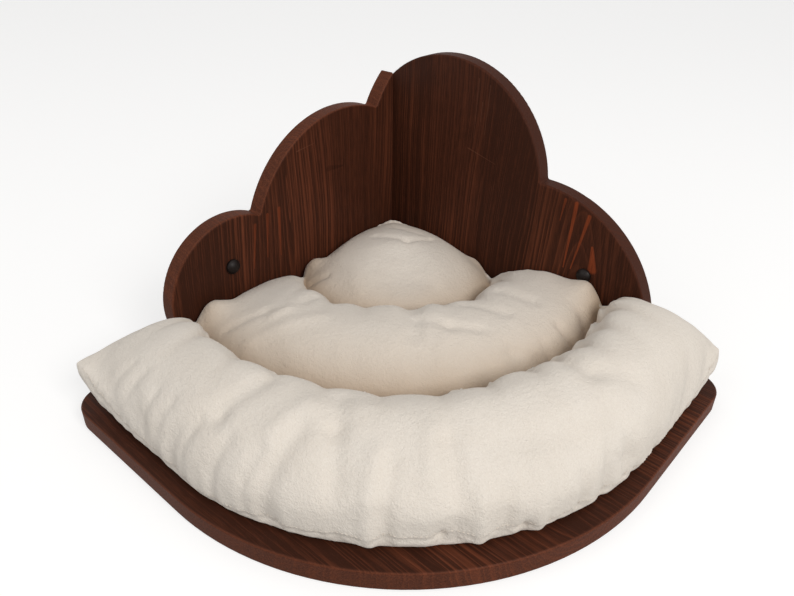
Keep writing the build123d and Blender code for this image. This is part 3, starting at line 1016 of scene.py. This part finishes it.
# %% Where the cloth is drawn in
# Stitched points of the two seams, in degrees round the corner from the right wall
outer_stitches = (0, 6, 10.5, 16.5, 21.8, 26.5, 31, 37, 42.6, 48.9, 55.2, 61.5, 67.6, 75.6, 82, 90)
inner_stitches = (0, 15.5, 28.4, 36.7, 44.3, 53.1, 60.7, 69.8, 90)

# Folds: where each starts and ends, as millimetres along the right wall and along the left wall, how wide it
# is, and how far it sinks. A ridge sinks by less than nothing.
folds = (
    ((186, 345), (182, 386), 9, 3.2), ((181, 386), (150, 413), 8, 3.4), ((137, 398), (130, 415), 5, 1.8),
    ((84, 405), (90, 392), 5, 1.6), ((60, 408), (70, 392), 5, 1.5), ((112, 412), (116, 398), 4, 1.4),
    ((165, 412), (170, 396), 5, 1.8), ((197, 410), (202, 394), 5, 1.9), ((226, 402), (228, 386), 5, 1.7),
    ((240, 362), (243, 400), 9, 4.2), ((232, 345), (229, 375), 10, -2.6), ((242, 322), (260, 346), 9, 3.2),
    ((262, 346), (284, 370), 9, 3.4), ((297, 342), (309, 364), 8, -3.2), ((305, 338), (317, 358), 7, 2.8),
    ((326, 302), (350, 321), 8, 3.4), ((312, 305), (330, 326), 8, -2.4), ((351, 280), (384, 228), 13, 3.2),
    ((384, 228), (399, 190), 12, 2.6), ((376, 264), (390, 274), 8, -2.6), ((345, 172), (363, 172), 10, 2.6),
    ((363, 172), (388, 150), 10, 2.4), ((361, 308), (368, 316), 6, -3.0), ((409, 188), (416, 180), 5, 2.6),
    ((406, 212), (413, 206), 5, 2.6), ((401, 238), (408, 232), 5, 2.4), ((372, 292), (378, 302), 5, 3.2),
    ((311, 97), (296, 99), 5, 3.4), ((309, 132), (300, 130), 5, 3.0), ((304, 144), (290, 162), 7, 3.4),
    ((308, 68), (297, 58), 5, 2.6), ((211, 198), (238, 187), 7, 1.8), ((238, 187), (258, 169), 6, 2.2),
    ((222, 142), (258, 132), 7, 2.2), ((228, 97), (262, 93), 8, 2.4), ((103, 270), (112, 248), 6, -2.0),
    ((112, 248), (106, 222), 6, 2.4), ((66, 296), (88, 268), 6, 2.2), ((104, 300), (142, 250), 8, -1.8),
    ((66, 96), (100, 84), 5, 2.4), ((100, 84), (110, 56), 5, 3.0), ((60, 66), (96, 55), 5, 1.8),
    ((52, 180), (66, 172), 5, 3.0),
)
# Where the hem is drawn in: degrees round the corner, and how far
hem_notches = ((19.0, 3.4), (22.8, 2.8), (27.6, 4.2), (36.4, 5.0), (43.6, 6.0), (58.0, 1.2), (73.0, 1.6))
# Corners that stand up beside the boards: of which lobe, counted from the back, where, how wide, how high
ears = ((1, (24, 288), 17, 18), (0, (26, 158), 13, 14), (0, (152, 24), 10, 6), (1, (290, 26), 19, 18))
print("folds:", len(folds))


# %% Ripples, stitched points and distances
scallop_power = 0.7


def pucker(along, seed, length):
    """Uneven ripples along a seam, between -1 and 1, a given length apart."""
    ripple = np.sin(2 * math.pi * along / length + 1.7 * np.sin(along / (length * 1.9) + seed))
    slower = np.sin(2 * math.pi * along / (length * 2.7) + seed * 2.1)
    return ripple * (0.65 + 0.35 * slower)


def between_stitches(turn, stitches):
    """0 at a stitched point and 1 midway to the next one, and the distance in degrees to the nearest."""
    place = np.interp(turn, stitches, np.arange(len(stitches)))
    nearest_stitch = np.interp(np.round(place), np.arange(len(stitches)), stitches)
    return np.abs(np.sin(math.pi * place)) ** scallop_power, np.abs(turn - nearest_stitch)


def to_line(points, start, end):
    """How far each point is in plan from a line between two spots."""
    plan = np.column_stack((points[:, 0], -points[:, 1]))
    start, step = np.array(start, float), np.subtract(end, start)
    share = np.clip((plan - start) @ step / (step @ step), 0, 1)
    return np.linalg.norm(plan - start - share[:, None] * step, axis=1)


print("widest gap between stitched points:", max(np.diff(outer_stitches)), "degrees")

# %% Where each point of the cloth is
points = read_points(cushion)
outward = read_vectors(cushion.data.vertex_normals, "vector")
neighbours = pairs_of(cushion)
lobe = np.empty(len(points), np.float32)
cushion.data.attributes["lobe"].data.foreach_get("value", lobe)
cushion.data.attributes.remove(cushion.data.attributes["lobe"])
lobe = smoothed(lobe.astype(float)[:, None], neighbours, 2)[:, 0]
# Shares from 0 to 1: clear of the walls, off the shelf, and high enough to be seen above the seams
off_wall = smooth_share(np.minimum(points[:, 0], -points[:, 1]), 20, 52)
above = smooth_share(points[:, 2], shelf_top + 3, shelf_top + 9)
high = smooth_share(points[:, 2], shelf_top + 22, shelf_top + 36)
turn = np.degrees(np.arctan2(-points[:, 1], points[:, 0]))
from_cut = (points[:, 0] - points[:, 1] - corner_cut) / math.sqrt(2)
print("points in the front lobe:", int((lobe > 1.5).sum()))


# %% Calm the cloth at the seams and at the cut corner
def near(distance, width):
    """1 at no distance, falling off smoothly over a width."""
    return np.exp(-((distance / width) ** 2))


seam_width, cut_width, inner_cut_width = 9.0, 16.0, 12.0
calm_rounds, cut_rounds = 8, 24
by_seam = near(from_cut, cut_width)
for seam in (back_seam, front_seam):
    by_seam = np.maximum(by_seam, near(past_seam(points, seam), seam_width) * high)
for rounds, where in ((calm_rounds, by_seam), (cut_rounds, near(from_cut, inner_cut_width))):
    points += (smoothed(points, neighbours, rounds) - points) * where[:, None]
print("calmed points:", int((by_seam > 0.5).sum()))

# %% Scallops and tucks
# Of each seam: the lobe behind it, its circle, its stitched points, how far the lobe in front bulges over it,
# the share by which the lobe behind sinks, and over what distance
sewn = ((0, back_seam, inner_stitches, 6.0, 0.34, 11.0), (1, front_seam, outer_stitches, 12.5, 0.62, 14.0))
scallop_back, scallop_low, scallop_reach = 0.4, 0.12, 17.0
tuck_width, tuck_reach, tuck_depth = 4.4, 18.0, 3.6
shift_rounds = 4
# How strong the painted crease shade is, and how fast it fades: a wide part and a narrow one, then that of a
# tuck
crease_shade_fades, tuck_shade = ((0.85, 28.0), (0.15, 9.0)), 0.5
seam_floor = shelf_top + max(seam_heights)
shift = np.zeros_like(points)
crease_shade_share = np.zeros(len(points))
for number, seam, stitches, bulge, sunk, decay in sewn:
    centre, radius = seam_circle(seam)
    spread = np.column_stack((points[:, 0] - centre, points[:, 1] + centre))
    reach = np.linalg.norm(spread, axis=1)
    past = past_seam(points, seam)
    ahead, behind = np.clip(past, 0, None), np.clip(past, None, 0)
    front_part = smooth_share(lobe, number + 0.2, number + 0.8)
    scallop, from_stitch = between_stitches(turn, stitches)
    edge = front_part * np.exp(-ahead / scallop_reach) * high
    sinking = sunk * (1 - front_part) * np.exp(behind / decay) * np.clip(points[:, 2] - seam_floor, 0, None)
    shift[:, :2] -= spread / reach[:, None] * (scallop_back * bulge * scallop * edge)[:, None]
    shift[:, 2] += bulge * (scallop * off_wall - scallop_low) * edge - sinking
    tuck = near(np.radians(from_stitch) * reach, tuck_width) * front_part * np.exp(-ahead / tuck_reach) * high
    shift -= outward * (tuck_depth * tuck)[:, None]
    # Painted shade: the lobe behind a seam, and each tuck, are coloured darker and warmer towards the seam
    shade_near_seam = sum(part * np.exp(behind / fade) for part, fade in crease_shade_fades)
    crease_shade_share = np.maximum(crease_shade_share, (1 - front_part) * shade_near_seam * high)
    crease_shade_share = np.maximum(crease_shade_share, tuck_shade * tuck)
points += smoothed(shift, neighbours, shift_rounds)
print("largest shift at the seams:", round(float(np.linalg.norm(shift, axis=1).max()), 1), "mm")

# %% Folds and raised corners
for start, end, width, sink in folds:
    points -= outward * (above * sink * near(to_line(points, start, end), width))[:, None]
for number, spot, width, rise in ears:
    member = np.clip(1 - np.abs(lobe - number), 0, 1)
    apart = to_line(points, spot, (spot[0] + 1, spot[1]))
    points[:, 2] += above * member * rise * near(apart, width)
print("highest point:", round(float(points[:, 2].max()), 1), "mm")

# %% Ripples beside the seams, and the hem
ripple_length, ripple_reach, ripple_height = 13.0, 9.0, 0.9
hem_groove_width, hem_groove_depth = 2.6, 1.6
notch_width, notch_reach, notch_power = 4.5, 8.0, 1.5
for seed, line in enumerate((inner_seam, outer_seam, hem)):
    gap, along = nearest(points, line)
    ripples = pucker(along, seed, ripple_length + seed) * np.exp(-gap / ripple_reach) * ripple_height
    points += outward * (above * ripples)[:, None]
points -= outward * (near(gap, hem_groove_width) * hem_groove_depth)[:, None]
from_corner = np.linalg.norm(points[:, :2], axis=1)
for degrees, drawn in hem_notches:
    beside = np.radians(turn - degrees) * from_corner
    pull = drawn * np.exp(-np.abs(beside / notch_width) ** notch_power) * near(gap, notch_reach)
    points[:, :2] -= points[:, :2] / from_corner[:, None] * pull[:, None]
write_points(cushion, keep_clear(points))
print("nearest point to the hem:", round(float(gap.min()), 2), "mm")

# %% [markdown]
# ## Brushed cotton
# The cover is cream cotton, brushed until a short nap stands up. It has no shine, but a soft glow where it is
# seen edge-on, which is what sheen is for. The nap clumps at about a millimetre. Deep in the creases the
# colour is painted darker and warmer, as painted shade and painted bounce light: a stored mark tells the
# finish how close each point is to a seam.

# %% Mark the painted crease shade
crease = cushion.data.attributes.new("crease", "FLOAT", "POINT")
crease.data.foreach_set("value", crease_shade_share.astype(np.float32))
print("crease mark stored on", len(crease_shade_share), "points")

# %% Brushed cotton
cotton_dark = (0.728, 0.658, 0.578, 1)
cotton_light = (0.86, 0.812, 0.75, 1)
crease_shade_tint = (0.44, 0.315, 0.205, 1)
nap_tone, cloud_tone, crease_shade_strength = 0.6, 0.4, 0.95
nap_height, clump_height = 0.6, 0.9
brushed_cotton, tree, shader = new_finish("brushed_cotton", {
    "Roughness": 0.92, "Specular IOR Level": 0.2,
    "Sheen Weight": 0.25, "Sheen Roughness": 0.45, "Sheen Tint": (1.0, 0.97, 0.92, 1)})
here = add(tree, "ShaderNodeTexCoord").outputs["Object"]
nap = speckled(tree, here, 0.0013, 1.5)
clumps = speckled(tree, here, 0.0042, 1.2)
cloud = speckled(tree, here, 0.045, 1.2)
mottle = plus(tree, times(tree, nap["Tone"], nap_tone), times(tree, cloud["Tone"], cloud_tone))
# Painted shade and painted bounce light: the stored mark turns the colour darker and warmer near the seams
mark_and_crease_shade = add(tree, "ShaderNodeAttribute", attribute_name="crease").outputs["Fac"]
colour = blend_colours(tree, mottle, cotton_dark, cotton_light)
colour = blend_colours(tree, times(tree, mark_and_crease_shade, crease_shade_strength), colour, crease_shade_tint)
fuzz = plus(tree, times(tree, nap["Height"], nap_height), times(tree, clumps["Height"], clump_height))
bump = add(tree, "ShaderNodeBump", {"Height": fuzz, "Distance": 0.0015, "Strength": 0.75})
feed(tree, shader, {"Base Color": colour, "Normal": bump.outputs[0]})
cushion.data.materials.clear()
cushion.data.materials.append(brushed_cotton)
cushion.data.shade_smooth()
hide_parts("cushion")
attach(cushion, "cushion")
print("cushion stands for the packed one")

# %% [markdown]
# ## Stitches
# The two layers of the cover are sewn together a few millimetres in from the rim with a fine cream thread.
# Each stitch is a short tube that lies on the cloth and dips into it at both ends. The row follows the hem,
# and every end is put on the nearest point of the finished cloth, so the thread follows its folds.

# %% Hem stitches
def stitch_row(name, spots, length, thickness):
    """Small tubes along a row of spots, in metres. A spot has a place and the way that the cloth faces there.
    Each tube has four rings, by their place along it, their height and their girth."""
    sides = 6
    tube = ((0, -0.6, 0.55), (0.2, 0.25, 1.0), (0.8, 0.25, 1.0), (1.0, -0.6, 0.55))
    corners, faces = [], []
    for (start, up), (end, _) in zip(spots, spots[1:]):
        heading = (end - start).normalized()
        across = heading.cross(up).normalized()
        for at, rise, girth in tube:
            middle = start + heading * length * at + up * thickness * rise
            for i in range(sides):
                angle = 2 * math.pi * i / sides
                way = across * math.cos(angle) + up * math.sin(angle)
                corners.append(middle + way * thickness * girth / 2)
        first = len(corners) - 4 * sides
        for ring in range(3):
            for i in range(sides):
                here, after = first + ring * sides + i, first + ring * sides + (i + 1) % sides
                faces.append((here, after, after + sides, here + sides))
        faces.append(tuple(range(first + sides - 1, first - 1, -1)))
        faces.append(tuple(range(first + 3 * sides, first + 4 * sides)))
    data = bpy.data.meshes.new(name)
    data.from_pydata(corners, [], faces)
    data.shade_smooth()
    return new_object(name, data)


stitch_pitch = 3.6
stitch_rise = 4.6
stitch_length = 0.0027
thread_thickness = 0.0005
hem_ends = 12.0
walked = walked_along(hem)
marks_along = np.arange(hem_ends, walked[-1] - hem_ends, stitch_pitch)
row = np.column_stack([np.interp(marks_along, walked, hem[:, k]) for k in range(3)])
row[:, 2] += stitch_rise
on_cloth = [cushion.closest_point_on_mesh(Vector(spot) / 1000)[1:3] for spot in row]
hem_stitches = stitch_row("hem_stitches", on_cloth, stitch_length, thread_thickness)
print("stitches in the hem:", len(on_cloth) - 1)

# %% Thread
cotton_thread = speckled_finish("cotton_thread", 0.0004, 1.6, (0.60, 0.53, 0.45, 1), (0.76, 0.70, 0.63, 1),
                                (0.6, 0.2), (0.0001, 0.5), {})
hem_stitches.data.materials.append(cotton_thread)
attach(hem_stitches, "cushion")
print("thread done")
